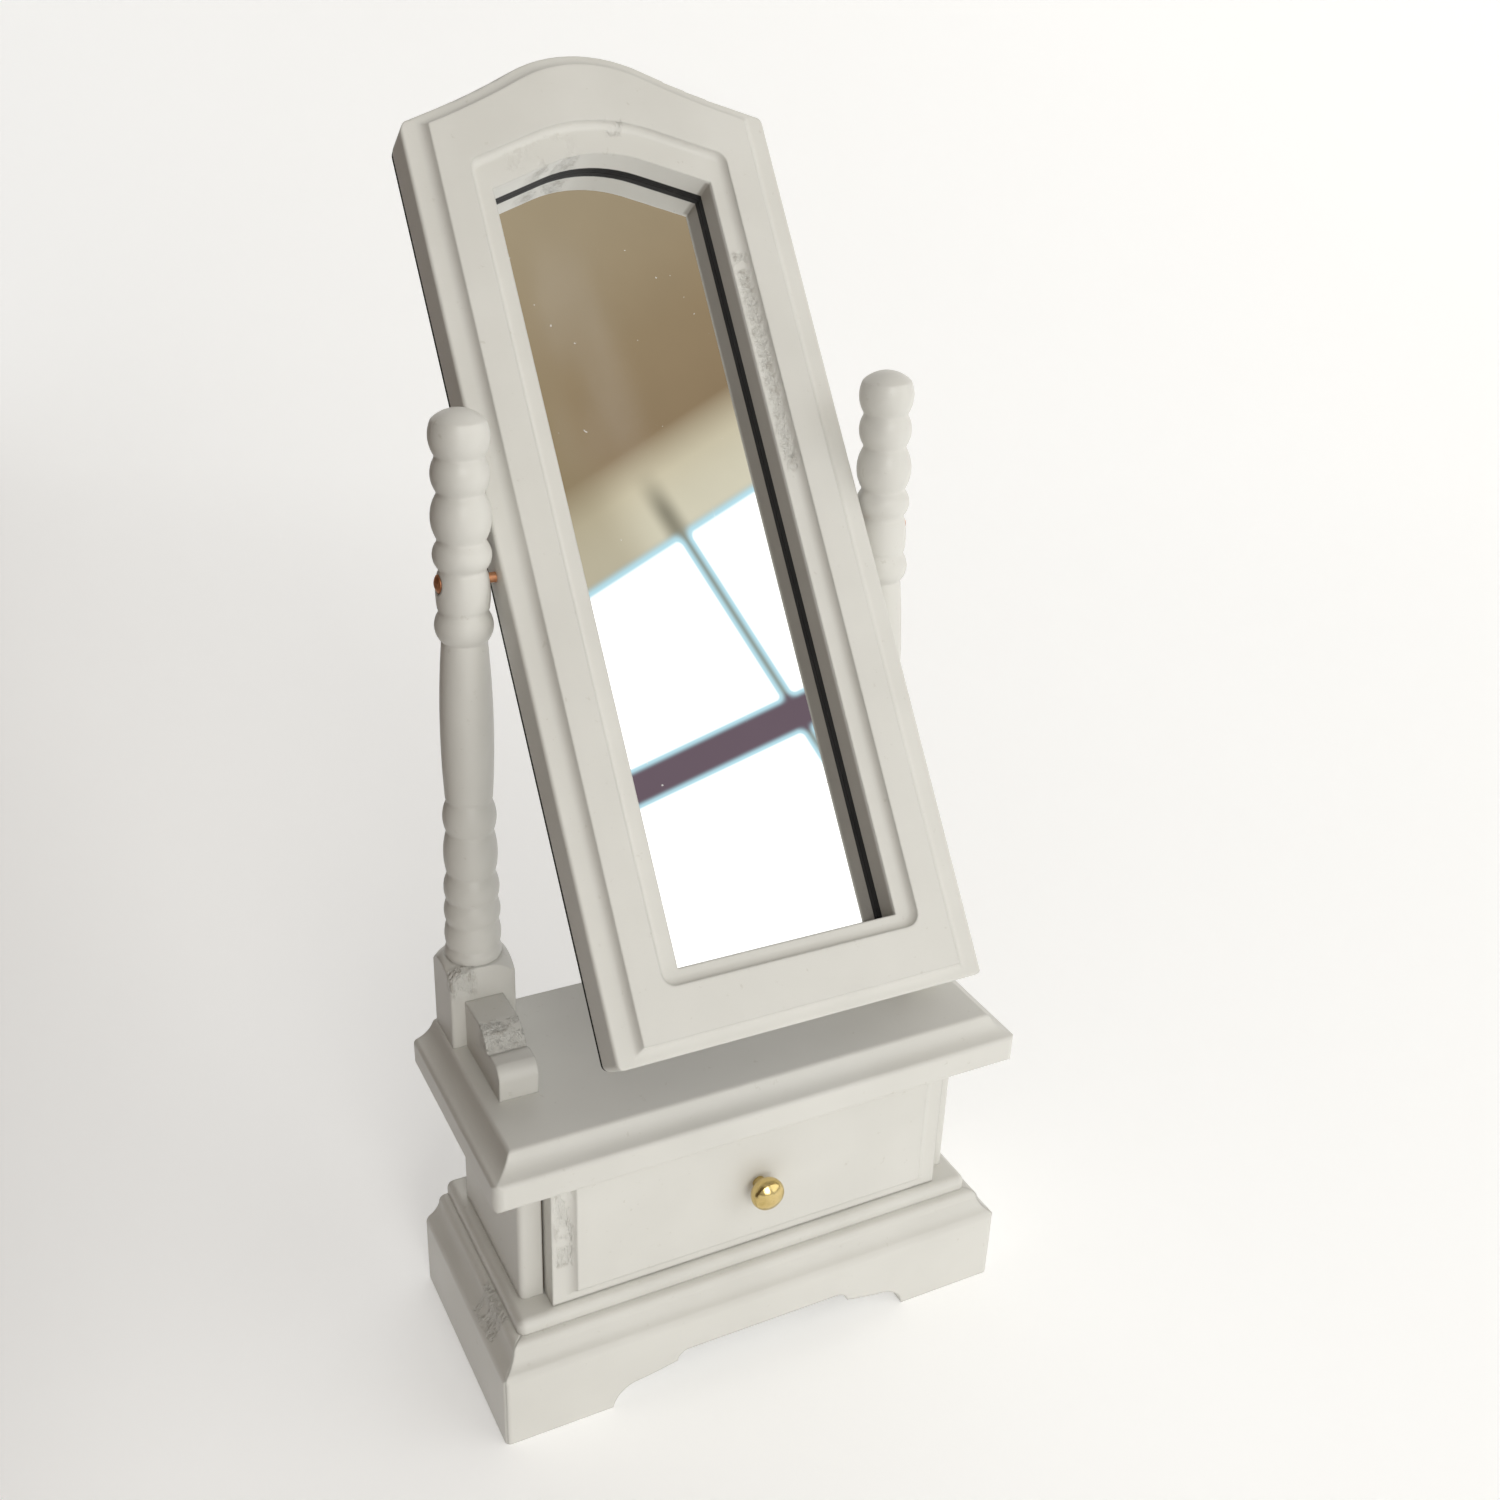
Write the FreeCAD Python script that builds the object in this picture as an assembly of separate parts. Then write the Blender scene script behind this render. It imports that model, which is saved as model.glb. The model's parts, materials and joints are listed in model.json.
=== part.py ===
import FreeCAD, Part
import os
from math import asin, cos, radians, sin, tan

# A 1:12 dolls' house dressing mirror: a tilting mirror in an arched frame,
# swung between two turned posts on a base with one drawer.
#
# Millimetres. +X is the object's right as seen from the front, +Y is back and
# +Z is up. The origin is the centre of the plinth's footprint, on the floor.

Vector = FreeCAD.Vector
X_AXIS = Vector(1, 0, 0)
Y_AXIS = Vector(0, 1, 0)
Z_AXIS = Vector(0, 0, 1)

# Plinth: four rails under a deck board
PLINTH_WIDTH = 65.3
PLINTH_DEPTH = 29.0
RAIL_THICKNESS = 4.0
RAIL_FACE_HEIGHT = 8.9
RAIL_HEIGHT = 12.6
DECK_INSET = 2.9
DECK_TOP = 14.4
DECK_ROUNDING = 0.9
DECK_CORNER = 1.0

# Carcass: two sides and a back between the deck and the top board
CARCASS_WIDTH = 56.6
CARCASS_FRONT = -8.15
CARCASS_BACK = 11.0
SIDE_THICKNESS = 2.7
BACK_THICKNESS = 1.5
CARCASS_TOP = 33.4
STILE_ROUNDING = 0.7
PLINTH_CORNER = 0.7

# Top board, moulded on its front and two ends
BOARD_WIDTH = 65.6
BOARD_FRONT = -14.2
BOARD_BACK = 14.3
BOARD_TOP = 39.1
BOARD_FILLET_TOP = 36.9
BOARD_CORNER = 1.1

# Posts: a square block, then a turned column that leans in and back a little
BLOCK_WIDTH = 7.7
BLOCK_DEPTH = 6.6
BLOCK_X = 26.15
BLOCK_Y = BOARD_BACK - BLOCK_DEPTH / 2
LEAN_POINT_Z = 48.0
LEAN_IN = 1.3
LEAN_BACK = 1.55
TENON_RADIUS = 1.5
TENON_LENGTH = 3.5
SHOULDER_BASE_Z = 45.5
SHOULDER_TOP_Z = 49.3
SHOULDER_BASE_RADIUS = 5.25
SHOULDER_TOP_RADIUS = 3.4
BLOCK_ARRIS = 0.35
GROOVE_HALF_WIDTH = 0.3
GROOVE_DEPTH = 0.1
COLUMN_BASE_Z = 45.0
COLUMN_BASE_RADIUS = 2.9
COLUMN_STEP_Z = 49.0

# Brackets in front of the blocks
BRACKET_WIDTH = 4.5

# The mirror's pivot
PIVOT_Y = 12.25
PIVOT_Z = 93.5
TILT = 36.0
NAIL_RADIUS = 0.55
NAIL_HOLE_RADIUS = 0.60
NAIL_HEAD_RADIUS = 1.0
NAIL_HEAD_THICKNESS = 0.5
NAIL_HEAD_X = 27.65
NAIL_SINK_RADIUS = 1.1
NAIL_SINK_X = 27.6
NAIL_TIP_X = 17.6

# Mirror frame, measured up and down from the pivot with the frame upright.
# Depths run back from the pivot; the field is the raised front surface.
FRAME_HALF_WIDTH = 21.6
FRAME_BOTTOM = -52.2
CROWN_TOP = 57.4
CROWN_RADIUS = 17.0
CROWN_ANGLE = 27.5
SWEEP_ANGLE = 20.0
SWEEP_RADIUS = 104.0
FRAME_TOP_CORNER = 1.8
FRAME_FOOT_CORNER = 0.8
BORDER_FACE = -2.62
FIELD_RISE = 0.9
FRAME_REAR = 1.85
SIDE_COVE = (1.75, 2.9)
TOP_COVE = (0.5, 1.6)
BOTTOM_COVE = (0.7, 1.7)
ARRIS = 0.35
OPENING_HALF_WIDTH = 12.95
OPENING_BOTTOM = -43.7
OPENING_CROWN = 45.5
OPENING_CROWN_RADIUS = 16.0
OPENING_SLOPE = 20.8
SINKING_SIDE = 2.2
SINKING_BOTTOM = 1.6
SINKING_TOP = 3.5
SINKING_CORNER = 1.5
SINKING_COVE = 0.8
GLASS_FACE = 1.4
GLASS_LAP = 1.2
GLASS_GAP = 0.1
BACKING_THICKNESS = 0.7
BACKING_INSET = 0.05

# Drawer
DRAWER_GAP = 0.25
FRONT_REAR_Y = -7.6
FRONT_BORDER_Y = -10.55
FRONT_FIELD_RISE = 0.75
FRONT_BOTTOM = 14.55
FRONT_TOP = 33.1
FRONT_END_COVE = (1.5, 2.75)
FRONT_EDGE_COVE = (0.7, 1.75)
DRAWER_WALL = 1.3
DRAWER_REAR_Y = 8.6
DRAWER_SIDE_TOP = 28.5
DRAWER_FLOOR_Z = 15.9
KNOB_Z = 24.0
KNOB_HEAD_RADIUS = 2.03
KNOB_NECK_RADIUS = 0.8
KNOB_SHANK_RADIUS = 0.6


def box(x0, x1, y0, y1, z0, z1):
    """A box from one corner to the opposite one."""
    return Part.makeBox(x1 - x0, y1 - y0, z1 - z0, Vector(x0, y0, z0))


def line(start, end):
    return Part.LineSegment(start, end).toShape()


def arc(start, middle, end):
    return Part.Arc(start, middle, end).toShape()


def wire_of(place, items):
    """A closed wire. Each item is a point, or (middle, end) of an arc."""
    edges = []
    first = place(*items[0])
    here = first
    for item in list(items[1:]) + [items[0]]:
        if isinstance(item[0], tuple):
            end = place(*item[1])
            edges.append(arc(here, place(*item[0]), end))
        else:
            end = place(*item)
            if end.distanceToPoint(here) > 1e-7:
                edges.append(line(here, end))
        here = end
    return Part.Wire(edges)


def prism(place, items, direction):
    """The closed outline, pushed along a direction."""
    return Part.Face(wire_of(place, items)).extrude(direction)


def lathe(items, centre, axis, place, angle=360.0):
    """The closed outline, turned about an axis."""
    return Part.Face(wire_of(place, items)).revolve(centre, axis, angle)


def dome(radius, base, top):
    """The round end of a turned outline: a ball's cap, from a radius at the
    base to the axis at the top, as (middle, end) of an arc."""
    rise = top - base
    ball = (radius ** 2 + rise ** 2) / (2 * abs(rise))
    centre = top - ball if rise > 0 else top + ball
    half_turn = asin(radius / ball) / 2
    drop = ball * cos(half_turn)
    middle = (ball * sin(half_turn), centre + drop if rise > 0 else centre - drop)
    return (middle, (0.0, top))


def mirrored(shape):
    """The same piece on the other side of the object."""
    return shape.mirror(Vector(0, 0, 0), X_AXIS)


def at_tilt(shape):
    """A piece built upright about the pivot, moved to its place at rest."""
    tilted = shape.copy()
    tilted.rotate(Vector(0, 0, 0), X_AXIS, -TILT)
    tilted.translate(Vector(0, PIVOT_Y, PIVOT_Z))
    return tilted


# Plinth ---------------------------------------------------------------------

def rail_section():
    """Inset from the outer face against height: a flat face, a cove above it
    and a round nosing at the top."""
    return [
        (0.0, 0.0),
        (0.0, RAIL_FACE_HEIGHT),
        ((0.10, 9.50), (0.45, 9.95)),
        ((1.20, 10.60), (1.75, 11.70)),
        ((2.00, 12.35), (2.60, RAIL_HEIGHT)),
        (RAIL_THICKNESS, RAIL_HEIGHT),
        (RAIL_THICKNESS, 0.0),
    ]


def foot_cutout():
    """The opening between the two bracket feet of the front rail."""
    right = [
        (9.8, 5.05),
        ((10.95, 4.70), (11.45, 3.80)),
        ((14.0, 3.25), (17.0, 2.80)),
        ((18.75, 1.75), (19.6, 0.0)),
    ]
    left = [
        (-19.6, 0.0),
        ((-18.75, 1.75), (-17.0, 2.80)),
        ((-14.0, 3.25), (-11.45, 3.80)),
        ((-10.95, 4.70), (-9.8, 5.05)),
    ]
    below = [(19.6, -1.0), (-19.6, -1.0)]
    front = -PLINTH_DEPTH / 2
    place = lambda x, z: Vector(x, front - 1, z)
    return prism(place, right + below + left, Y_AXIS * (RAIL_THICKNESS + 2))


def plinth_plan():
    """The plinth's footprint, its front corners eased."""
    half = PLINTH_WIDTH / 2
    front = -PLINTH_DEPTH / 2
    block = box(-half, half, front, -front, 0, RAIL_HEIGHT)
    return rounded(block, PLINTH_CORNER, lambda edge, middle: (
        front_corner(middle, half, front)))


def front_corner(middle, half, front):
    """Whether an edge's middle is on an upright front corner."""
    return abs(abs(middle.x) - half) < 0.01 and abs(middle.y - front) < 0.01


def plinth_front():
    half = PLINTH_WIDTH / 2
    front = -PLINTH_DEPTH / 2
    inner = RAIL_THICKNESS
    section = lambda d, z: Vector(-half, front + d, z)
    rail = prism(section, rail_section(), X_AXIS * PLINTH_WIDTH)
    corners = [
        (-half, front),
        (half, front),
        (half - inner, front + inner),
        (-half + inner, front + inner),
    ]
    plan = prism(lambda x, y: Vector(x, y, 0), corners, Z_AXIS * RAIL_HEIGHT)
    return rail.common(plan).common(plinth_plan()).cut(foot_cutout())


def plinth_left():
    half = PLINTH_WIDTH / 2
    front = -PLINTH_DEPTH / 2
    inner = RAIL_THICKNESS
    section = lambda d, z: Vector(-half + d, front, z)
    rail = prism(section, rail_section(), Y_AXIS * PLINTH_DEPTH)
    corners = [
        (-half, front),
        (-half + inner, front + inner),
        (-half + inner, -front),
        (-half, -front),
    ]
    plan = prism(lambda x, y: Vector(x, y, 0), corners, Z_AXIS * RAIL_HEIGHT)
    return rail.common(plan).common(plinth_plan())


def plinth_back():
    half = PLINTH_WIDTH / 2 - RAIL_THICKNESS
    back = PLINTH_DEPTH / 2
    return box(-half, half, back - RAIL_THICKNESS, back, 0, RAIL_HEIGHT)


def deck_board():
    half = PLINTH_WIDTH / 2 - DECK_INSET
    front = -PLINTH_DEPTH / 2 + DECK_INSET
    deck = box(-half, half, front, PLINTH_DEPTH / 2, RAIL_HEIGHT, DECK_TOP)
    deck = rounded(deck, DECK_CORNER, lambda edge, middle: (
        front_corner(middle, half, front)))
    return rounded(deck, DECK_ROUNDING, lambda edge, middle: (
        middle.z > DECK_TOP - 0.01 and middle.y < PLINTH_DEPTH / 2 - 0.01))


def rounded(shape, radius, wanted):
    """Round the edges whose middle points the test picks out."""
    edges = []
    for edge in shape.Edges:
        middle = edge.valueAt((edge.FirstParameter + edge.LastParameter) / 2)
        if wanted(edge, middle):
            edges.append(edge)
    return shape.makeFillet(radius, edges)


# Carcass --------------------------------------------------------------------

def carcass_left_side():
    outer = -CARCASS_WIDTH / 2
    inner = outer + SIDE_THICKNESS
    side = box(outer, inner, CARCASS_FRONT, CARCASS_BACK, DECK_TOP, CARCASS_TOP)
    return rounded(side, STILE_ROUNDING, lambda edge, middle: (
        abs(middle.x - outer) < 0.01 and abs(middle.y - CARCASS_FRONT) < 0.01))


def carcass_back():
    half = CARCASS_WIDTH / 2 - SIDE_THICKNESS
    front = CARCASS_BACK - BACK_THICKNESS
    return box(-half, half, front, CARCASS_BACK, DECK_TOP, CARCASS_TOP)


# Top board ------------------------------------------------------------------

def board_waste():
    """Wood moulded away from an edge: inset from the edge against height."""
    top = BOARD_TOP
    fillet = BOARD_FILLET_TOP
    return [
        (-2.0, CARCASS_TOP - 1),
        (0.5, CARCASS_TOP - 1),
        (0.5, CARCASS_TOP),
        ((0.15, CARCASS_TOP + 0.15), (0.0, CARCASS_TOP + 0.5)),
        (0.0, fillet - 0.55),
        ((0.10, fillet - 0.18), (0.40, fillet + 0.05)),
        ((1.60, fillet + 0.72), (2.35, top - 0.42)),
        ((2.58, top - 0.10), (3.00, top)),
        (3.00, top + 1),
        (-2.0, top + 1),
    ]


def top_board():
    half = BOARD_WIDTH / 2
    board = box(-half, half, BOARD_FRONT, BOARD_BACK, CARCASS_TOP, BOARD_TOP)
    board = rounded(board, BOARD_CORNER, lambda edge, middle: (
        front_corner(middle, half, BOARD_FRONT)))
    front = lambda d, z: Vector(-half - 3, BOARD_FRONT + d, z)
    left = lambda d, z: Vector(-half + d, BOARD_FRONT - 3, z)
    end_waste = prism(left, board_waste(), Y_AXIS * (BOARD_BACK - BOARD_FRONT + 6))
    board = board.cut(prism(front, board_waste(), X_AXIS * (BOARD_WIDTH + 6)))
    board = board.cut(end_waste).cut(mirrored(end_waste))
    for side in (-1, 1):
        mouth = Vector(side * BLOCK_X, BLOCK_Y, BOARD_TOP - TENON_LENGTH)
        board = board.cut(Part.makeCylinder(TENON_RADIUS, TENON_LENGTH + 1, mouth))
    return board


# Posts ----------------------------------------------------------------------

def beads(outline, height, rows):
    """Add beads to a turned outline. Each row is the height of the groove
    above the bead, the bead's radius and the groove's radius."""
    for groove_z, bead_radius, groove_radius in rows:
        shoulder = groove_radius + GROOVE_DEPTH
        below = groove_z - GROOVE_HALF_WIDTH
        above = groove_z + GROOVE_HALF_WIDTH
        outline.append(((bead_radius, (height + below) / 2), (shoulder, below)))
        outline.append(((groove_radius, groove_z), (shoulder, above)))
        height = above


def column_outline():
    """The turned column, from inside the block to the top of the finial."""
    outline = [(0.0, COLUMN_BASE_Z), (COLUMN_BASE_RADIUS, COLUMN_BASE_Z)]
    outline.append((COLUMN_BASE_RADIUS, COLUMN_STEP_Z))
    beads(outline, COLUMN_STEP_Z, [
        (50.75, 3.22, 2.98),
        (53.70, 3.18, 2.90),
        (56.50, 3.16, 2.84),
        (59.80, 3.10, 2.66),
        (64.90, 3.00, 2.60),
        (68.70, 2.96, 2.50),
    ])
    # the shaft swells a little at its middle
    outline.append(((2.86, 78.2), (2.42, 87.1)))
    beads(outline, 87.1, [
        (90.4, 3.08, 2.62),
        (94.8, 2.84, 2.50),
        (98.0, 3.06, 2.54),
        (102.9, 3.13, 2.46),
        (106.6, 3.00, 2.54),
    ])
    # a domed finial
    outline.append(((3.10, 108.5), (2.75, 110.3)))
    outline.append(dome(2.75, 110.3, 111.45))
    return outline


def post_left():
    left = BLOCK_X + BLOCK_WIDTH / 2
    block = box(-left, -left + BLOCK_WIDTH, BLOCK_Y - BLOCK_DEPTH / 2, BOARD_BACK,
                BOARD_TOP, SHOULDER_TOP_Z)
    block = rounded(block, BLOCK_ARRIS, lambda edge, middle: (
        abs(middle.z - (BOARD_TOP + SHOULDER_TOP_Z) / 2) < 0.01))
    centre = Vector(-BLOCK_X, BLOCK_Y, 0)
    radial = lambda r, z: Vector(-BLOCK_X + r, BLOCK_Y, z)
    shoulder = lathe([
        (0.0, BOARD_TOP - 1),
        (SHOULDER_BASE_RADIUS, BOARD_TOP - 1),
        (SHOULDER_BASE_RADIUS, SHOULDER_BASE_Z),
        ((4.7, 48.1), (SHOULDER_TOP_RADIUS, SHOULDER_TOP_Z)),
        (0.0, SHOULDER_TOP_Z),
    ], centre, Z_AXIS, radial)
    tenon_foot = Vector(-BLOCK_X, BLOCK_Y, BOARD_TOP - TENON_LENGTH)
    tenon = Part.makeCylinder(TENON_RADIUS, TENON_LENGTH + 1, tenon_foot)
    column = lathe(column_outline(), centre, Z_AXIS, radial)
    knee = Vector(-BLOCK_X, BLOCK_Y, LEAN_POINT_Z)
    column.rotate(knee, Y_AXIS, LEAN_IN)
    column.rotate(knee, X_AXIS, -LEAN_BACK)
    post = block.common(shoulder).fuse([tenon, column]).removeSplitter()
    outside = Vector(-NAIL_SINK_X - 10, PIVOT_Y, PIVOT_Z)
    hole = Part.makeCylinder(NAIL_HOLE_RADIUS, 20, outside, X_AXIS)
    sink = Part.makeCylinder(NAIL_SINK_RADIUS, 10, outside, X_AXIS)
    return post.cut(hole).cut(sink)


def bracket_left():
    """A stepped scroll bracket: two rounded lobes, seen from the side."""
    back = BLOCK_Y - BLOCK_DEPTH / 2
    floor = BOARD_TOP
    outline = [
        (back, floor),
        (back, floor + 6.1),
        (3.2, floor + 6.15),
        ((1.45, floor + 5.55), (0.4, floor + 4.4)),
        (-0.15, floor + 3.85),
        ((-0.5, floor + 4.1), (-1.0, floor + 4.2)),
        (-2.5, floor + 4.2),
        ((-3.3, floor + 3.6), (-3.65, floor + 2.2)),
        (-3.5, floor),
    ]
    place = lambda y, z: Vector(-BLOCK_X - BRACKET_WIDTH / 2, y, z)
    return prism(place, outline, X_AXIS * BRACKET_WIDTH)


def pivot_nail_left():
    """A round-headed nail through the post and into the frame's edge."""
    start = Vector(-NAIL_HEAD_X, PIVOT_Y, PIVOT_Z)
    shank = Part.makeCylinder(NAIL_RADIUS, NAIL_HEAD_X - NAIL_TIP_X - 1.0, start, X_AXIS)
    point_start = Vector(-NAIL_TIP_X - 1.0, PIVOT_Y, PIVOT_Z)
    point = Part.makeCone(NAIL_RADIUS, 0.12, 1.0, point_start, X_AXIS)
    along = lambda r, x: Vector(-NAIL_HEAD_X - x, PIVOT_Y, PIVOT_Z + r)
    head = lathe([
        (0.0, 0.0),
        (NAIL_HEAD_RADIUS, 0.0),
        (NAIL_HEAD_RADIUS, 0.12),
        dome(NAIL_HEAD_RADIUS, 0.12, NAIL_HEAD_THICKNESS),
    ], start, X_AXIS, along)
    return shank.fuse([point, head]).removeSplitter()


# Mirror ---------------------------------------------------------------------

def crown_points():
    """Half of the frame's arched top: where the crown, the sweep and the
    side meet, and the points half way along each arc."""
    centre_z = CROWN_TOP - CROWN_RADIUS
    turn = radians(CROWN_ANGLE)
    crown_end = (CROWN_RADIUS * sin(turn), centre_z + CROWN_RADIUS * cos(turn))
    crown_mid = (CROWN_RADIUS * sin(turn / 2),
                 centre_z + CROWN_RADIUS * cos(turn / 2))
    sweep_x = crown_end[0] + SWEEP_RADIUS * sin(turn)
    sweep_z = crown_end[1] + SWEEP_RADIUS * cos(turn)

    def on_sweep(angle):
        return (sweep_x - SWEEP_RADIUS * sin(radians(angle)),
                sweep_z - SWEEP_RADIUS * cos(radians(angle)))

    side_sine = (sweep_x - FRAME_HALF_WIDTH) / SWEEP_RADIUS
    side_z = sweep_z - SWEEP_RADIUS * (1 - side_sine ** 2) ** 0.5
    return {
        "crown_centre": (0.0, centre_z),
        "crown_mid": crown_mid,
        "crown_end": crown_end,
        "sweep_centre": (sweep_x, sweep_z),
        "sweep_mid": on_sweep((CROWN_ANGLE + SWEEP_ANGLE) / 2),
        "shoulder": (FRAME_HALF_WIDTH, side_z),
    }


def frame_outline(inset=0.0):
    """Outer outline of the frame, upright, as items for wire_of."""
    points = crown_points()
    half = FRAME_HALF_WIDTH - inset
    bottom = FRAME_BOTTOM + inset
    drop = inset

    def right(name):
        x, z = points[name]
        return (x, z - drop)

    def left(name):
        x, z = right(name)
        return (-x, z)

    shoulder = (half, points["shoulder"][1] - drop)
    return [
        (-half, bottom),
        (half, bottom),
        shoulder,
        (right("sweep_mid"), right("crown_end")),
        ((0.0, CROWN_TOP - drop), left("crown_end")),
        (left("sweep_mid"), (-half, shoulder[1])),
    ]


def arch_points(half, apex, radius):
    """Where an arched top's crown ends, and where its slope meets the side."""
    turn = radians(OPENING_SLOPE)
    end_x = radius * sin(turn)
    end_z = apex - radius * (1 - cos(turn))
    side_z = end_z - (half - end_x) * tan(turn)
    return (end_x, end_z), (half, side_z)


def arch_outline(side, bottom, top):
    """The opening's outline, moved outwards: a round crown, two straight
    slopes, upright sides and a level bottom."""
    half = OPENING_HALF_WIDTH + side
    foot = OPENING_BOTTOM - bottom
    apex = OPENING_CROWN + top
    (end_x, end_z), (_, side_z) = arch_points(half, apex, OPENING_CROWN_RADIUS + top)
    return [
        (-half, foot),
        (half, foot),
        (half, side_z),
        (end_x, end_z),
        ((0.0, apex), (-end_x, end_z)),
        (-half, side_z),
    ]


def opening_outline(grow=0.0):
    return arch_outline(grow, grow, grow)


def slab(outline, front, back):
    """A flat plate in the frame's own plane, from depth to depth."""
    place = lambda x, z: Vector(x, front, z)
    return prism(place, outline, Y_AXIS * (back - front))


def frame_blank(inset, front, back):
    """The frame's outline as a plate, with its four corners eased."""
    plate = slab(frame_outline(inset), front, back)

    def corner(edge, middle):
        upright = abs(edge.tangentAt(edge.FirstParameter).y) > 0.99
        return upright and abs(abs(middle.x) - FRAME_HALF_WIDTH + inset) < 0.01

    plate = rounded(plate, FRAME_TOP_CORNER, lambda edge, middle: (
        corner(edge, middle) and middle.z > 0))
    return rounded(plate, FRAME_FOOT_CORNER, lambda edge, middle: (
        corner(edge, middle) and middle.z < 0))


def border_waste(cove):
    """Waste along an outer edge: (inset from the edge, depth)."""
    start, end = cove
    field = BORDER_FACE - FIELD_RISE
    return [
        (-3.0, field - 1),
        (end, field - 1),
        (end, field),
        ((end - (end - start) / 3, BORDER_FACE - 0.28), (start, BORDER_FACE)),
        (ARRIS, BORDER_FACE),
        ((ARRIS * 0.3, BORDER_FACE + ARRIS * 0.3), (0.0, BORDER_FACE + ARRIS)),
        (-3.0, BORDER_FACE + ARRIS),
    ]


def sinking():
    """The recess round the opening. It is as deep as the border, with rounded
    corners and a cove where its floor meets the field."""
    field = BORDER_FACE - FIELD_RISE
    recess = slab(arch_outline(SINKING_SIDE, SINKING_BOTTOM, SINKING_TOP),
                  field - 1, BORDER_FACE)
    half = OPENING_HALF_WIDTH + SINKING_SIDE
    recess = rounded(recess, SINKING_CORNER, lambda edge, middle: (
        abs(abs(middle.x) - half) < 0.01
        and abs(edge.tangentAt(edge.FirstParameter).y) > 0.99))
    return rounded(recess, SINKING_COVE, lambda edge, middle: (
        abs(middle.y - BORDER_FACE) < 0.01))


def swept(section, path_start, outward, along, length):
    """A waste section run along a straight edge."""
    place = lambda d, depth: path_start + outward * d + Y_AXIS * depth
    return prism(place, section, along * length)


def turned_waste(section, centre, radius, direction, angle, flip):
    """A waste section run round an arc, starting at a direction."""
    place = lambda d, depth: (
        centre + direction * (radius + d * flip) + Y_AXIS * depth)
    return lathe(section, centre, Y_AXIS, place, angle)


def direction_at(angle):
    """A unit vector in the frame's plane, from upright towards +X."""
    return Vector(sin(radians(angle)), 0, cos(radians(angle)))


def outer_moulding_waste():
    half = FRAME_HALF_WIDTH
    height = CROWN_TOP - FRAME_BOTTOM
    points = crown_points()
    side = swept(border_waste(SIDE_COVE), Vector(-half, 0, FRAME_BOTTOM - 3),
                 X_AXIS, Z_AXIS, height)
    bottom = swept(border_waste(BOTTOM_COVE), Vector(-half - 3, 0, FRAME_BOTTOM),
                   Z_AXIS, X_AXIS, 2 * half + 6)
    top = border_waste(TOP_COVE)
    crown_x, crown_z = points["crown_centre"]
    crown = turned_waste(top, Vector(crown_x, 0, crown_z), CROWN_RADIUS,
                         direction_at(-CROWN_ANGLE), 2 * CROWN_ANGLE, -1)
    sweep_x, sweep_z = points["sweep_centre"]
    spare = CROWN_ANGLE - SWEEP_ANGLE + 4
    sweep = turned_waste(top, Vector(-sweep_x, 0, sweep_z), SWEEP_RADIUS,
                         direction_at(180 - CROWN_ANGLE), spare, 1)
    return [side, mirrored(side), bottom, crown, sweep, mirrored(sweep)]


def upright_frame():
    field = BORDER_FACE - FIELD_RISE
    body = frame_blank(0.0, field, FRAME_REAR)
    for waste in outer_moulding_waste() + [sinking()]:
        body = body.cut(waste)
    body = body.cut(slab(opening_outline(), field - 1, FRAME_REAR + 1))
    body = body.cut(slab(opening_outline(GLASS_LAP), GLASS_FACE, FRAME_REAR + 1))
    for side in (-1, 1):
        outside = Vector(side * (FRAME_HALF_WIDTH + 1), 0, 0)
        inward = Vector(-side, 0, 0)
        depth = FRAME_HALF_WIDTH + 1 - NAIL_TIP_X
        body = body.cut(Part.makeCylinder(NAIL_RADIUS, depth, outside, inward))
    return body.removeSplitter()


def upright_glass():
    return slab(opening_outline(GLASS_LAP - GLASS_GAP), GLASS_FACE, FRAME_REAR)


def upright_backing():
    back = FRAME_REAR + BACKING_THICKNESS
    return frame_blank(BACKING_INSET, FRAME_REAR, back)


# Drawer ---------------------------------------------------------------------

DRAWER_HALF = CARCASS_WIDTH / 2 - SIDE_THICKNESS - DRAWER_GAP


def drawer_front():
    """A raised field with a coved shoulder inside a flat border."""
    half = DRAWER_HALF
    field = FRONT_BORDER_Y - FRONT_FIELD_RISE
    front = box(-half, half, field, FRONT_REAR_Y, FRONT_BOTTOM, FRONT_TOP)

    def shoulder(cove):
        start, end = cove
        return [
            (-1.0, field - 1),
            (end, field - 1),
            (end, field),
            ((end - (end - start) / 3, FRONT_BORDER_Y - 0.25), (start, FRONT_BORDER_Y)),
            (-1.0, FRONT_BORDER_Y),
        ]

    height = FRONT_TOP - FRONT_BOTTOM
    foot = Vector(-half, 0, FRONT_BOTTOM)
    head = Vector(-half, 0, FRONT_TOP)
    end_waste = swept(shoulder(FRONT_END_COVE), foot, X_AXIS, Z_AXIS, height)
    waste = [
        end_waste,
        mirrored(end_waste),
        swept(shoulder(FRONT_EDGE_COVE), foot, Z_AXIS, X_AXIS, 2 * half),
        swept(shoulder(FRONT_EDGE_COVE), head, -Z_AXIS, X_AXIS, 2 * half),
    ]
    for piece in waste:
        front = front.cut(piece)
    start = Vector(0, field - 1, KNOB_Z)
    return front.cut(Part.makeCylinder(KNOB_SHANK_RADIUS, 6, start, Y_AXIS))


def drawer_left_side():
    return box(-DRAWER_HALF, -DRAWER_HALF + DRAWER_WALL, FRONT_REAR_Y, DRAWER_REAR_Y,
               FRONT_BOTTOM, DRAWER_SIDE_TOP)


def drawer_back():
    half = DRAWER_HALF - DRAWER_WALL
    return box(-half, half, DRAWER_REAR_Y - DRAWER_WALL, DRAWER_REAR_Y,
               FRONT_BOTTOM, DRAWER_SIDE_TOP)


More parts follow.
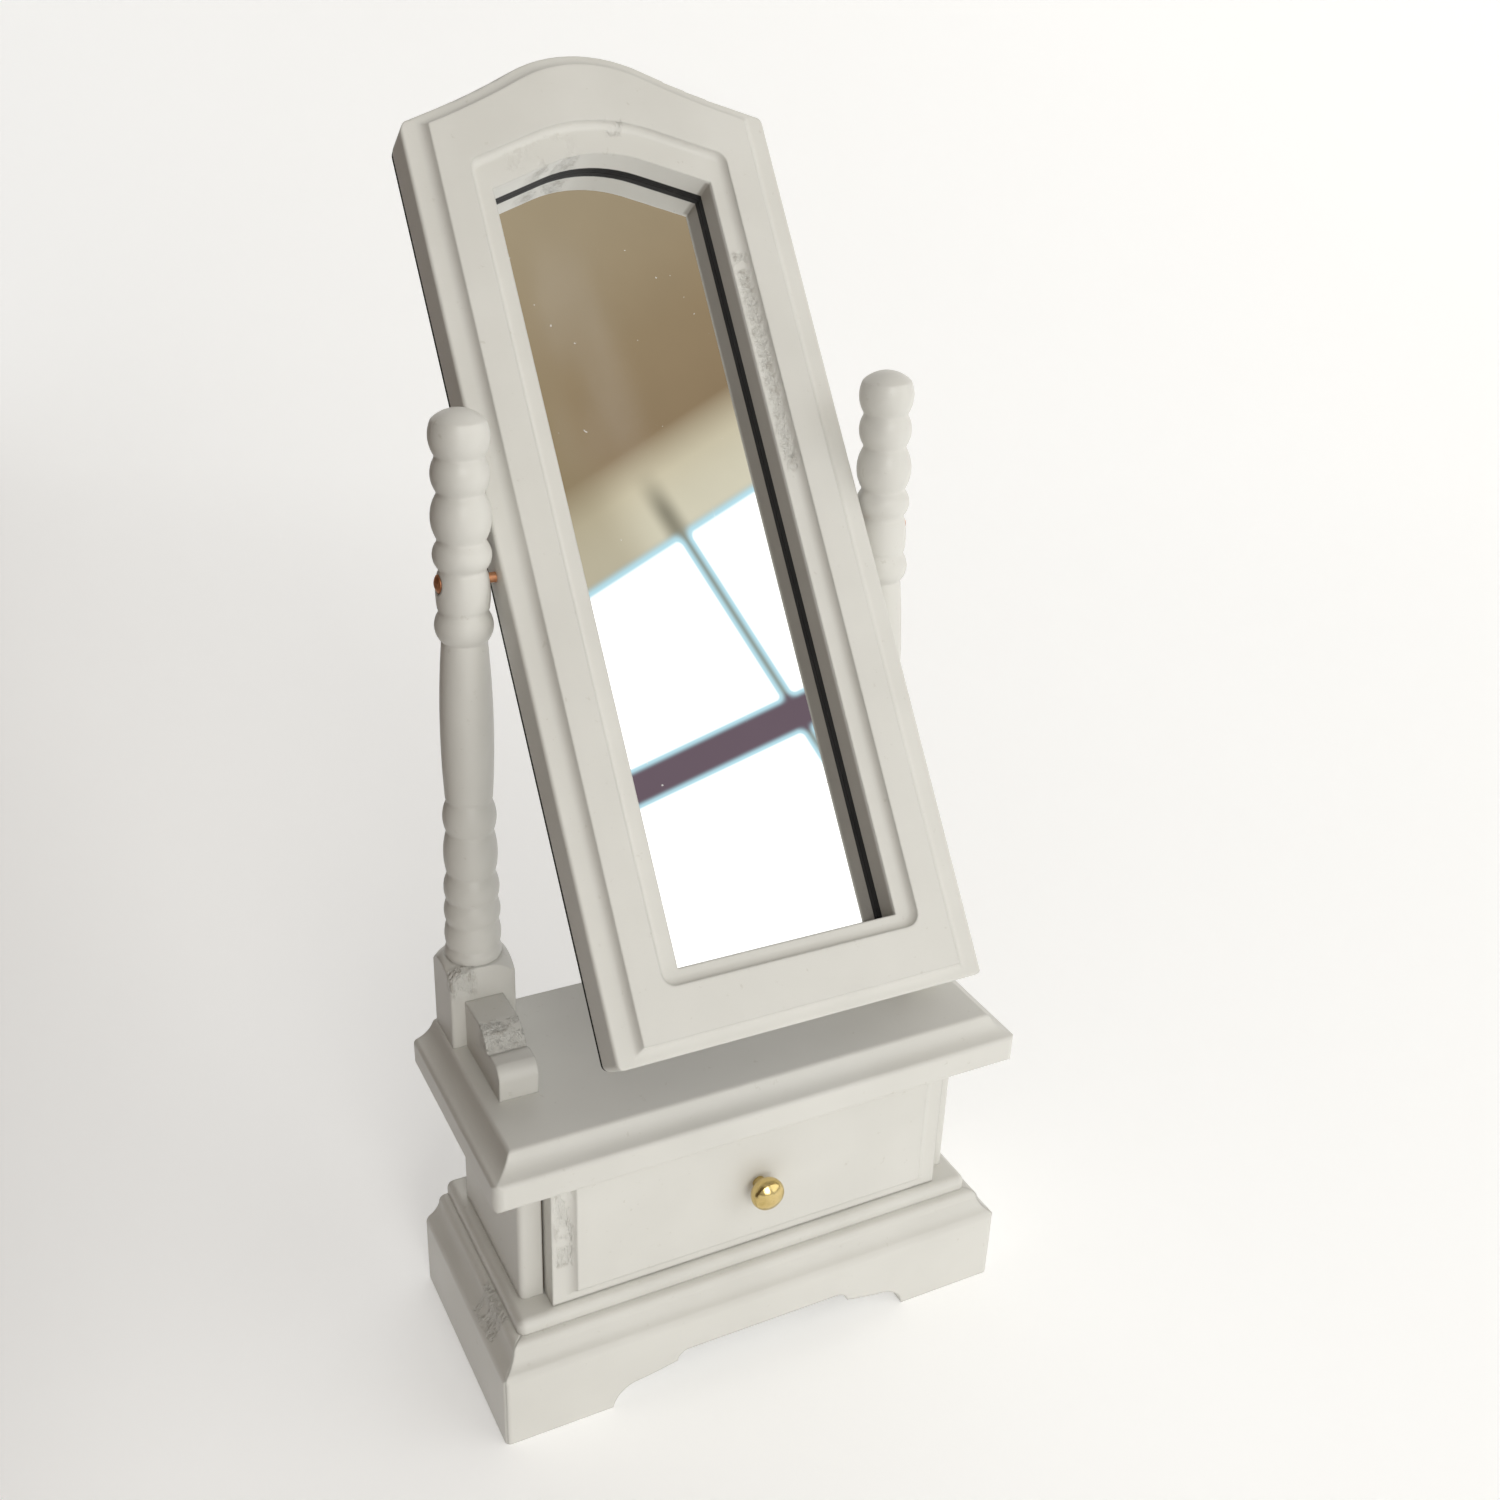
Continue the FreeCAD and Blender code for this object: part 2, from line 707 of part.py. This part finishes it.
def drawer_bottom():
    half = DRAWER_HALF - DRAWER_WALL
    return box(-half, half, FRONT_REAR_Y, DRAWER_REAR_Y - DRAWER_WALL,
               FRONT_BOTTOM, DRAWER_FLOOR_Z)


def drawer_knob():
    """A small turned knob with its shank through the drawer front."""
    field = FRONT_BORDER_Y - FRONT_FIELD_RISE
    out = lambda r, forward: Vector(0, field - forward, KNOB_Z + r)
    reach = field - FRONT_REAR_Y
    return lathe([
        (0.0, reach - 0.4),
        (KNOB_SHANK_RADIUS, reach - 0.4),
        (KNOB_SHANK_RADIUS, 0.0),
        (KNOB_NECK_RADIUS, 0.0),
        (KNOB_NECK_RADIUS, 1.1),
        ((1.6, 1.25), (1.92, 1.75)),
        ((KNOB_HEAD_RADIUS, 2.3), (1.8, 2.95)),
        dome(1.8, 2.95, 3.7),
    ], Vector(0, 0, KNOB_Z), Y_AXIS, out)


def all_pieces():
    left_pieces = {
        "plinth_{}": plinth_left(),
        "carcass_{}_side": carcass_left_side(),
        "post_{}": post_left(),
        "bracket_{}": bracket_left(),
        "pivot_nail_{}": pivot_nail_left(),
        "drawer_{}_side": drawer_left_side(),
    }
    pieces = {
        "plinth_front": plinth_front(),
        "plinth_back": plinth_back(),
        "deck_board": deck_board(),
        "carcass_back": carcass_back(),
        "top_board": top_board(),
        "mirror_frame": at_tilt(upright_frame()),
        "mirror_glass": at_tilt(upright_glass()),
        "mirror_backing": at_tilt(upright_backing()),
        "drawer_front": drawer_front(),
        "drawer_back": drawer_back(),
        "drawer_bottom": drawer_bottom(),
        "drawer_knob": drawer_knob(),
    }
    for name, shape in left_pieces.items():
        pieces[name.format("left")] = shape
        pieces[name.format("right")] = mirrored(shape)
    return pieces


os.makedirs("parts", exist_ok=True)
for node, shape in all_pieces().items():
    if len(shape.Solids) != 1 or not shape.isValid():
        raise RuntimeError(f"{node}: {len(shape.Solids)} solids, valid {shape.isValid()}")
    shape.Solids[0].exportStep(f"parts/{node}.step")
    bounds = shape.BoundBox
    print(f"{node:20s} volume {shape.Volume:9.2f}  "
          f"x {bounds.XMin:7.2f} {bounds.XMax:7.2f}  "
          f"y {bounds.YMin:7.2f} {bounds.YMax:7.2f}  "
          f"z {bounds.ZMin:7.2f} {bounds.ZMax:7.2f}")
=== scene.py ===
import json
from math import cos, radians, sin

import bpy
from mathutils import Matrix, Vector

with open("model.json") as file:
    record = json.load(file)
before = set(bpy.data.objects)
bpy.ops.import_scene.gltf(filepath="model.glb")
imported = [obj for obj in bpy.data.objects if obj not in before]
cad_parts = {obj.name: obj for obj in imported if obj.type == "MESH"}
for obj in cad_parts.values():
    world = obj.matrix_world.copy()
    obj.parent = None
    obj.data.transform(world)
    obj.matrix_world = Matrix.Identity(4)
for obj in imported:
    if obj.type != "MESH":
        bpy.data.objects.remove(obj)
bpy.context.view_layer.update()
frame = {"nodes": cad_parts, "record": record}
nodes = frame["nodes"]
MM = 0.001

# The part's axes, and the mirror's pivot and its tilt at rest, which set the
# mirror frame's own axes
AXES = ((1.0, 0.0, 0.0), (0.0, 1.0, 0.0), (0.0, 0.0, 1.0))
HINGE = [joint for joint in frame["record"]["behaviour"]["joints"]
         if joint["name"] == "mirror_tilt"][0]
PIVOT = HINGE["pos_m"]
TILT = radians(36.0)

# Camera, window and lights
CAMERA_AT_MM = (-73.145, -142.972, 153.824)
CAMERA_HEADING, CAMERA_PITCH, CAMERA_ROLL = 0.48712, 0.45624, 0.03966
LENS_MM = 39.647
SENSOR_MM = 36.0
WINDOW_AT = (0.39907, -0.60202, 0.77011)
WINDOW_ACROSS = (0.83677, 0.54756, 0.0)
WINDOW_AWAY = (0.39980, -0.61096, 0.68329)
WINDOW_LEFT, WINDOW_RIGHT = -0.20, 0.90
WINDOW_LOW, WINDOW_HIGH = -0.78, 0.62
FILL_AT = (-0.12, -1.10, 0.50)
FILL_AIM = (0.0, 0.0, 0.07)
FILL_SIZE = 0.5
FILL_WATTS = 4.8

# Floor: flat to the bend, then an arc and a straight rise behind
FLOOR_HALF_WIDTH = 1.4
FLOOR_FRONT = -1.6
FLOOR_BEND = 0.35
FLOOR_BEND_RADIUS = 0.30
FLOOR_BEND_END = 78
FLOOR_RISE = 0.6
FLOOR_TURN = -0.42

# The dark card on the left
CARD_X = -0.095
CARD_FRONT, CARD_BACK = -0.10, 0.45
CARD_HEIGHT = 0.24

# Opening of the mirror frame in its own axes, in millimetres
OPENING_SIDE = 13.1
OPENING_FOOT, OPENING_HEAD = -44.0, 46.2


# Camera ---------------------------------------------------------------------

def add_camera():
    """The photograph's viewpoint: in front, to the left and above."""
    heading, pitch, roll = CAMERA_HEADING, CAMERA_PITCH, CAMERA_ROLL
    forward = Vector((sin(heading) * cos(pitch), cos(heading) * cos(pitch), -sin(pitch)))
    level = Vector((cos(heading), -sin(heading), 0.0))
    up = level.cross(forward)
    right = cos(roll) * level + sin(roll) * up
    up = cos(roll) * up - sin(roll) * level
    data = bpy.data.cameras.new("camera")
    data.sensor_width = SENSOR_MM
    data.lens = LENS_MM
    data.clip_start = 0.005
    data.clip_end = 20.0
    camera = bpy.data.objects.new("camera", data)
    turn = Matrix((right, up, -forward)).transposed()
    camera.matrix_world = Matrix.Translation(Vector(CAMERA_AT_MM) * MM) @ turn.to_4x4()
    bpy.context.collection.objects.link(camera)
    bpy.context.scene.camera = camera


# Materials ------------------------------------------------------------------

class Nodes:
    """Short names for building a node material."""

    def __init__(self, name):
        self.material = bpy.data.materials.new(name)
        self.material.use_nodes = True
        self.tree = self.material.node_tree
        self.shader = self.tree.nodes["Principled BSDF"]
        self.coordinates = self.tree.nodes.new("ShaderNodeTexCoord").outputs["Object"]

    def node(self, kind, **inputs):
        made = self.tree.nodes.new(kind)
        for name, value in inputs.items():
            socket = made.inputs[name.replace("_", " ")]
            if hasattr(value, "links"):
                self.tree.links.new(value, socket)
            else:
                socket.default_value = value
        return made

    def set(self, **inputs):
        for name, value in inputs.items():
            socket = self.shader.inputs[name.replace("_", " ")]
            if hasattr(value, "links"):
                self.tree.links.new(value, socket)
            else:
                socket.default_value = value

    def stretched(self, scale, turn=0.0):
        """Coordinates turned about Y and then scaled, for long or slanting marks."""
        made = self.node("ShaderNodeMapping", Vector=self.coordinates)
        made.inputs["Rotation"].default_value = (0.0, turn, 0.0)
        made.inputs["Scale"].default_value = scale
        return made.outputs["Vector"]

    def noise(self, scale, detail=3.0, roughness=0.5, coordinates=None):
        made = self.node("ShaderNodeTexNoise", Scale=scale, Detail=detail,
                         Roughness=roughness)
        self.tree.links.new(coordinates or self.coordinates, made.inputs["Vector"])
        return made.outputs["Fac"]

    def ramp(self, factor, stops):
        made = self.node("ShaderNodeValToRGB", Fac=factor)
        while len(made.color_ramp.elements) < len(stops):
            made.color_ramp.elements.new(0.5)
        for element, (place, colour) in zip(made.color_ramp.elements, stops):
            element.position = place
            element.color = (*colour, 1.0)
        return made.outputs["Color"]

    def grey(self, factor, low, high, start=0.0, end=1.0):
        made = self.node("ShaderNodeMapRange", Value=factor)
        made.inputs["From Min"].default_value = start
        made.inputs["From Max"].default_value = end
        made.inputs["To Min"].default_value = low
        made.inputs["To Max"].default_value = high
        return made.outputs["Result"]

    def math(self, operation, a, b=0.0):
        made = self.tree.nodes.new("ShaderNodeMath")
        made.operation = operation
        for socket, value in zip(made.inputs, (a, b)):
            if hasattr(value, "links"):
                self.tree.links.new(value, socket)
            else:
                socket.default_value = value
        return made.outputs[0]

    def step(self, value, low, high):
        """0 at low and 1 at high, whichever of the two is the larger."""
        made = self.node("ShaderNodeMapRange", Value=value)
        made.interpolation_type = "SMOOTHSTEP"
        made.inputs["From Min"].default_value = min(low, high)
        made.inputs["From Max"].default_value = max(low, high)
        made.inputs["To Min"].default_value = 0.0 if low < high else 1.0
        made.inputs["To Max"].default_value = 1.0 if low < high else 0.0
        return made.outputs["Result"]

    def along(self, direction, origin=(0.0, 0.0, 0.0)):
        """Distance from an origin along a direction, in the object's frame."""
        made = self.tree.nodes.new("ShaderNodeVectorMath")
        made.operation = "DOT_PRODUCT"
        self.tree.links.new(self.coordinates, made.inputs[0])
        made.inputs[1].default_value = direction
        start = Vector(direction).dot(Vector(origin))
        return self.math("SUBTRACT", made.outputs["Value"], start)

    def band(self, value, low, high, soft):
        """1 between low and high, falling off over a soft edge."""
        return self.math("MULTIPLY", self.step(value, low - soft, low + soft),
                         self.step(value, high + soft, high - soft))

    def all_of(self, *masks):
        mask = masks[0]
        for other in masks[1:]:
            mask = self.math("MULTIPLY", mask, other)
        return mask

    def mix(self, factor, a, b, blend="MIX"):
        made = self.tree.nodes.new("ShaderNodeMix")
        made.data_type = "RGBA"
        made.blend_type = blend
        for socket, value in (("Factor", factor), ("A", a), ("B", b)):
            wanted = [s for s in made.inputs if s.name == socket and s.enabled][0]
            if hasattr(value, "links"):
                self.tree.links.new(value, wanted)
            else:
                wanted.default_value = value
        return [s for s in made.outputs if s.enabled][0]

    def bump(self, height, distance, strength=1.0, normal=None):
        made = self.node("ShaderNodeBump", Height=height, Distance=distance,
                         Strength=strength)
        if normal:
            self.tree.links.new(normal, made.inputs["Normal"])
        return made.outputs["Normal"]

    def bevel(self, radius):
        made = self.tree.nodes.new("ShaderNodeBevel")
        made.samples = 6
        made.inputs["Radius"].default_value = radius
        return made.outputs["Normal"]


def painted_wood(name="painted_wood", tilted=False, worn=()):
    """Satin white paint, brushed by hand over sanded wood. Worn patches are
    boxes where the paint is rough and chipped. Tilted paint is the mirror
    frame's: painted shade darkens the opening's right wall, and a painted
    black shadow lines the wall where it meets the glass."""
    n = Nodes(name)
    broad = n.noise(90.0, 2.0)
    fine = n.noise(900.0, 4.0, 0.6)
    brushed = n.noise(260.0, 3.0, 0.6, n.stretched((1.0, 1.0, 5.0)))
    tint = n.ramp(broad, [(0.30, (0.650, 0.640, 0.600)), (0.70, (0.690, 0.680, 0.640))])
    speck = n.ramp(fine, [(0.26, (0.90, 0.89, 0.87)), (0.34, (1.0, 1.0, 1.0))])
    colour = n.mix(1.0, tint, speck, "MULTIPLY")
    roughness = n.grey(broad, 0.34, 0.50, 0.3, 0.7)
    axes = frame_axes(n) if tilted else [n.along(axis) for axis in AXES]
    if tilted:
        x, depth, height = axes
        opening = n.all_of(
            n.step(n.math("ABSOLUTE", x), (OPENING_SIDE + 0.25) * MM, OPENING_SIDE * MM),
            n.band(height, OPENING_FOOT * MM, OPENING_HEAD * MM, 0.2 * MM))
        # Painted shade: the colour of the opening's right wall is darkened towards brown,
        # standing in for the shade that falls on it.
        wall = n.all_of(opening, n.step(depth, -2.45 * MM, -1.9 * MM),
                        n.step(x, 12.3 * MM, 12.7 * MM))
        colour = n.mix(n.math("MULTIPLY", wall, 0.62), colour, (0.16, 0.125, 0.09, 1.0))
        # Painted shadow: the colour turns near-black where the wall meets the glass, standing in
        # for the shade in the gap there, and the paint is made rougher along it.
        edge = n.all_of(opening, n.step(depth, 0.40 * MM, 0.55 * MM))
        colour = n.mix(edge, colour, (0.004, 0.003, 0.003, 1.0))
        roughness = n.math("ADD", roughness, n.math("MULTIPLY", edge, 0.5))
    soft = n.bevel(0.38 * MM)
    wavy = n.bump(broad, 0.12 * MM, 0.6, soft)
    strokes = n.bump(brushed, 0.035 * MM, 0.6, wavy)
    normal = n.bump(fine, 0.012 * MM, 0.6, strokes)
    if worn:
        rough = n.noise(1000.0, 4.0, 0.65, n.stretched((1.0, 1.0, 0.35), 0.9))
        ragged = n.step(n.noise(420.0, 2.0), 0.36, 0.48)
        relief = n.math("SUBTRACT", rough, 0.5)
        for low, high in worn:
            patch = n.all_of(ragged, *[n.band(distance, a * MM, b * MM, 0.4 * MM)
                                       for distance, a, b in zip(axes, low, high)])
            chips = n.all_of(patch, n.step(rough, 0.54, 0.62))
            colour = n.mix(n.math("MULTIPLY", chips, 0.32), colour, (0.27, 0.23, 0.18, 1.0))
            normal = n.bump(n.math("MULTIPLY", relief, patch), 1.1 * MM, 1.0, normal)
    n.set(Base_Color=colour)
    n.set(Roughness=roughness)
    n.set(Specular_IOR_Level=0.45, Coat_Weight=0.12, Coat_Roughness=0.30)
    n.set(Normal=normal)
    return n.material


def frame_axes(n):
    """Across the mirror frame, back through it and up along it."""
    return (n.along((1.0, 0.0, 0.0)),
            n.along((0.0, cos(TILT), -sin(TILT)), PIVOT),
            n.along((0.0, sin(TILT), cos(TILT)), PIVOT))


def bare_wood():
    """Sanded, unpainted wood with a fine straight grain."""
    n = Nodes("bare_wood")
    grain = n.noise(420.0, 5.0, 0.65, n.stretched((0.12, 0.12, 2.2)))
    pores = n.noise(2600.0, 2.0, 0.5, n.stretched((0.10, 0.10, 1.0)))
    tint = n.ramp(grain, [(0.30, (0.43, 0.29, 0.17)), (0.55, (0.60, 0.44, 0.28)),
                          (0.75, (0.68, 0.52, 0.35))])
    n.set(Base_Color=n.mix(0.35, tint, n.ramp(pores, [
        (0.35, (0.35, 0.24, 0.15)), (0.5, (0.66, 0.50, 0.34))])))
    n.set(Roughness=n.grey(grain, 0.62, 0.78))
    n.set(Normal=n.bump(pores, 0.02 * MM, 0.5))
    return n.material


def mirror_glass():
    """Silvered glass with a faint haze, a smear near its upper left and a few
    specks and hair scratches."""
    n = Nodes("mirror_glass")
    x, _, height = frame_axes(n)
    haze = n.noise(120.0, 3.0)
    smudge = n.noise(110.0, 2.0, 0.5, n.stretched((1.0, 0.30, 0.30)))
    scratch = n.noise(700.0, 2.0, 0.5, n.stretched((1.0, 0.05, 0.05)))
    specks = n.step(n.noise(1500.0, 1.0), 0.785, 0.815)
    wiped = n.all_of(n.step(smudge, 0.36, 0.66), n.band(x, -11.0 * MM, -1.0 * MM, 2.5 * MM),
                     n.band(height, 12.0 * MM, 36.0 * MM, 5.0 * MM))
    tint = n.ramp(haze, [(0.3, (0.86, 0.86, 0.85)), (0.7, (0.90, 0.90, 0.89))])
    n.set(Base_Color=tint)
    n.set(Metallic=n.math("SUBTRACT", 1.0, n.math("ADD", n.math("MULTIPLY", specks, 0.6),
                                                  n.math("MULTIPLY", wiped, 0.07))))
    n.set(Roughness=n.grey(scratch, 0.0, 0.05, 0.68, 0.80))
    return n.material


def backing_card():
    """Thin black card with a fibrous surface."""
    n = Nodes("backing_card")
    fibre = n.noise(1500.0, 4.0, 0.6)
    n.set(Base_Color=n.ramp(fibre, [(0.3, (0.012, 0.011, 0.011)), (0.7, (0.028, 0.025, 0.024))]))
    n.set(Roughness=n.grey(fibre, 0.75, 0.92))
    n.set(Normal=n.bump(fibre, 0.02 * MM, 0.7))
    return n.material


def brass():
    """Polished brass, slightly uneven."""
    n = Nodes("knob_brass")
    uneven = n.noise(700.0, 2.0)
    n.set(Base_Color=n.ramp(uneven, [(0.3, (0.60, 0.45, 0.17)), (0.7, (0.74, 0.58, 0.27))]))
    n.set(Metallic=1.0)
    n.set(Roughness=n.grey(uneven, 0.14, 0.30))
    n.set(Normal=n.bump(uneven, 0.10 * MM, 0.7))
    return n.material


def nail_metal():
    """Copper-washed steel with dull patches."""
    n = Nodes("nail_metal")
    dull = n.noise(1400.0, 3.0)
    n.set(Base_Color=n.ramp(dull, [(0.35, (0.42, 0.17, 0.08)), (0.65, (0.72, 0.36, 0.20))]))
    n.set(Metallic=0.85)
    n.set(Roughness=n.grey(dull, 0.35, 0.60))
    n.set(Normal=n.bump(dull, 0.05 * MM, 0.6))
    return n.material


def floor_material():
    n = Nodes("floor")
    broad = n.noise(3.0, 2.0)
    n.set(Base_Color=n.ramp(broad, [(0.3, (0.90, 0.90, 0.895)), (0.7, (0.92, 0.92, 0.915))]))
    n.set(Roughness=0.9)
    n.set(Emission_Color=(1.0, 1.0, 1.0, 1.0), Emission_Strength=0.26)
    return n.material


# Stage ----------------------------------------------------------------------

def add_floor():
    """A pale sheet that sweeps up behind the object."""
    rows = [(FLOOR_FRONT, 0.0), (FLOOR_BEND, 0.0)]
    rows += [(FLOOR_BEND + FLOOR_BEND_RADIUS * sin(radians(a)),
              FLOOR_BEND_RADIUS - FLOOR_BEND_RADIUS * cos(radians(a)))
             for a in range(6, FLOOR_BEND_END + 1, 6)]
    y, z = rows[-1]
    end = radians(FLOOR_BEND_END)
    rows.append((y + FLOOR_RISE * cos(end), z + FLOOR_RISE * sin(end)))
    turned = FLOOR_TURN
    vertices = [(x * cos(turned) - y * sin(turned), x * sin(turned) + y * cos(turned), z)
                for y, z in rows for x in (-FLOOR_HALF_WIDTH, FLOOR_HALF_WIDTH)]
    faces = [(2 * i, 2 * i + 1, 2 * i + 3, 2 * i + 2) for i in range(len(rows) - 1)]
    mesh = bpy.data.meshes.new("floor")
    mesh.from_pydata(vertices, [], faces)
    mesh.polygons.foreach_set("use_smooth", [True] * len(faces))
    mesh.materials.append(floor_material())
    floor = bpy.data.objects.new("floor", mesh)
    bpy.context.collection.objects.link(floor)


def add_fill_light():
    """A large soft light in front."""
    data = bpy.data.lights.new("fill", "AREA")
    data.shape = "DISK"
    data.size = FILL_SIZE
    data.energy = FILL_WATTS
    data.color = (1.0, 0.985, 0.94)
    light = bpy.data.objects.new("fill", data)
    light.location = FILL_AT
    aim = Vector(FILL_AIM) - Vector(FILL_AT)
    light.rotation_euler = aim.to_track_quat("-Z", "Y").to_euler()
    bpy.context.collection.objects.link(light)


def add_dark_card():
    """A brown card out of sight on the left, which keeps that side in shade."""
    mesh = bpy.data.meshes.new("dark_card")
    mesh.from_pydata([(CARD_X, CARD_FRONT, 0.0), (CARD_X, CARD_BACK, 0.0),
                      (CARD_X, CARD_BACK, CARD_HEIGHT), (CARD_X, CARD_FRONT, CARD_HEIGHT)],
                     [], [(0, 1, 2, 3)])
    n = Nodes("dark_card")
    grain = n.noise(30.0, 3.0)
    n.set(Base_Color=n.ramp(grain, [(0.3, (0.10, 0.075, 0.055)), (0.7, (0.14, 0.105, 0.08))]))
    n.set(Roughness=0.9)
    mesh.materials.append(n.material)
    card = bpy.data.objects.new("dark_card", mesh)
    bpy.context.collection.objects.link(card)
    card.visible_camera = False


def window_material():
    """A bright window with a mullion and a transom, under a tan ceiling."""
    n = Nodes("window")
    across = n.along((1.0, 0.0, 0.0))
    up = n.along((0.0, 1.0, 0.0))
    head, glass_top = 0.061, 0.046
    mullion_at, streak_at = 0.029, 0.027
    transom_drop, transom_slope, transom_from = 0.0895, 0.13, 0.03
    glass = n.step(up, head, glass_top)
    mullion = n.step(n.math("ABSOLUTE", n.math("SUBTRACT", across, mullion_at)), -0.002, 0.008)
    slant = n.math("MULTIPLY", n.math("ADD", across, transom_from), transom_slope)
    level = n.math("ADD", n.math("ADD", up, transom_drop), slant)
    transom = n.step(n.math("ABSOLUTE", level), 0.0075, 0.0180)
    open_pane = n.all_of(glass, mullion, transom)
    wall = n.ramp(n.step(up, 0.055, 0.335), [
        (0.00, (0.74, 0.70, 0.55)), (0.06, (0.68, 0.62, 0.46)),
        (0.155, (0.30, 0.22, 0.13)), (0.45, (0.33, 0.25, 0.15)),
        (1.00, (0.40, 0.33, 0.22))])
    dim = n.step(across, 0.02, -0.02)
    wall = n.mix(n.math("MULTIPLY", dim, 0.45), wall, (0.34, 0.28, 0.17, 1.0))
    streak = n.math("MULTIPLY", n.step(n.math("ABSOLUTE", n.math("SUBTRACT", across, streak_at)),
                                       0.013, 0.0), n.step(up, 0.112, 0.070))
    wall = n.mix(n.math("MULTIPLY", streak, 0.7), wall, (0.12, 0.11, 0.075, 1.0))
    bars = n.mix(n.step(n.math("ABSOLUTE", level), 0.020, 0.012),
                 (0.30, 0.34, 0.30, 1.0), (0.165, 0.120, 0.150, 1.0))
    dark = n.mix(n.step(up, glass_top, head), bars, wall)
    fringe = n.mix(n.step(open_pane, 0.0, 0.55), dark, (0.55, 0.84, 0.95, 1.0))
    colour = n.mix(n.step(open_pane, 0.55, 0.95), fringe, (1.70, 1.70, 1.68, 1.0))
    emission = n.node("ShaderNodeEmission", Color=colour, Strength=1.0)
    output = n.tree.nodes["Material Output"]
    n.tree.links.new(emission.outputs[0], output.inputs["Surface"])
    n.tree.nodes.remove(n.shader)
    return n.material


def add_window():
    """The window that lights the object, high up in front and to the right."""
    mesh = bpy.data.meshes.new("window")
    low, high, left, right = WINDOW_LOW, WINDOW_HIGH, WINDOW_LEFT, WINDOW_RIGHT
    mesh.from_pydata([(left, low, 0), (right, low, 0), (right, high, 0), (left, high, 0)],
                     [], [(0, 1, 2, 3)])
    mesh.materials.append(window_material())
    window = bpy.data.objects.new("window", mesh)
    away = Vector(WINDOW_AWAY)
    across = Vector(WINDOW_ACROSS)
    turn = Matrix((across, away.cross(across), away)).transposed()
    window.matrix_world = Matrix.Translation(WINDOW_AT) @ turn.to_4x4()
    bpy.context.collection.objects.link(window)
    window.visible_camera = False


def add_world():
    """Soft light, brightest overhead."""
    world = bpy.data.worlds.new("world")
    bpy.context.scene.world = world
    world.use_nodes = True
    tree = world.node_tree
    direction = tree.nodes.new("ShaderNodeTexCoord").outputs["Generated"]
    parts = tree.nodes.new("ShaderNodeSeparateXYZ")
    tree.links.new(direction, parts.inputs["Vector"])
    ramp = tree.nodes.new("ShaderNodeValToRGB")
    tree.links.new(parts.outputs["Z"], ramp.inputs["Fac"])
    ramp.color_ramp.elements[0].color = (0.50, 0.49, 0.48, 1.0)
    ramp.color_ramp.elements[1].color = (1.0, 0.99, 0.97, 1.0)
    background = tree.nodes["Background"]
    tree.links.new(ramp.outputs["Color"], background.inputs["Color"])
    background.inputs["Strength"].default_value = 0.60


add_camera()
add_world()
add_floor()
add_window()
add_fill_light()
add_dark_card()

made = {
    "painted_wood": painted_wood(),
    "bare_wood": bare_wood(),
    "mirror_glass": mirror_glass(),
    "backing_card": backing_card(),
    "knob_brass": brass(),
    "nail_metal": nail_metal(),
}
for piece in frame["record"]["subparts"]:
    for slot in nodes[piece["node"]].material_slots:
        slot.material = made[piece["material_slot"]]

# Where the paint is chipped, in millimetres: two opposite corners of each patch
WORN = {
    "mirror_frame": [((13.4, -3.9, 7.0), (14.9, -2.3, 33.0)),
                     ((-11.0, -2.5, 43.5), (-2.0, 0.4, 48.0)),
                     ((1.5, -3.9, 47.6), (3.5, -2.3, 49.0))],
    "drawer_front": [((-24.9, -12.0, 20.0), (-22.9, -10.2, 34.0))],
    "plinth_left": [((-32.4, -8.5, 9.8), (-30.0, -2.0, 12.9))],
    "post_left": [((-30.4, 6.8, 45.8), (-27.0, 9.0, 49.4))],
    "bracket_left": [((-28.8, 0.0, 42.5), (-23.5, 3.0, 45.6))],
}
for name, patches in WORN.items():
    nodes[name].material_slots[0].material = painted_wood(
        name + "_paint", name == "mirror_frame", patches)

bpy.context.scene.view_settings.view_transform = "Standard"
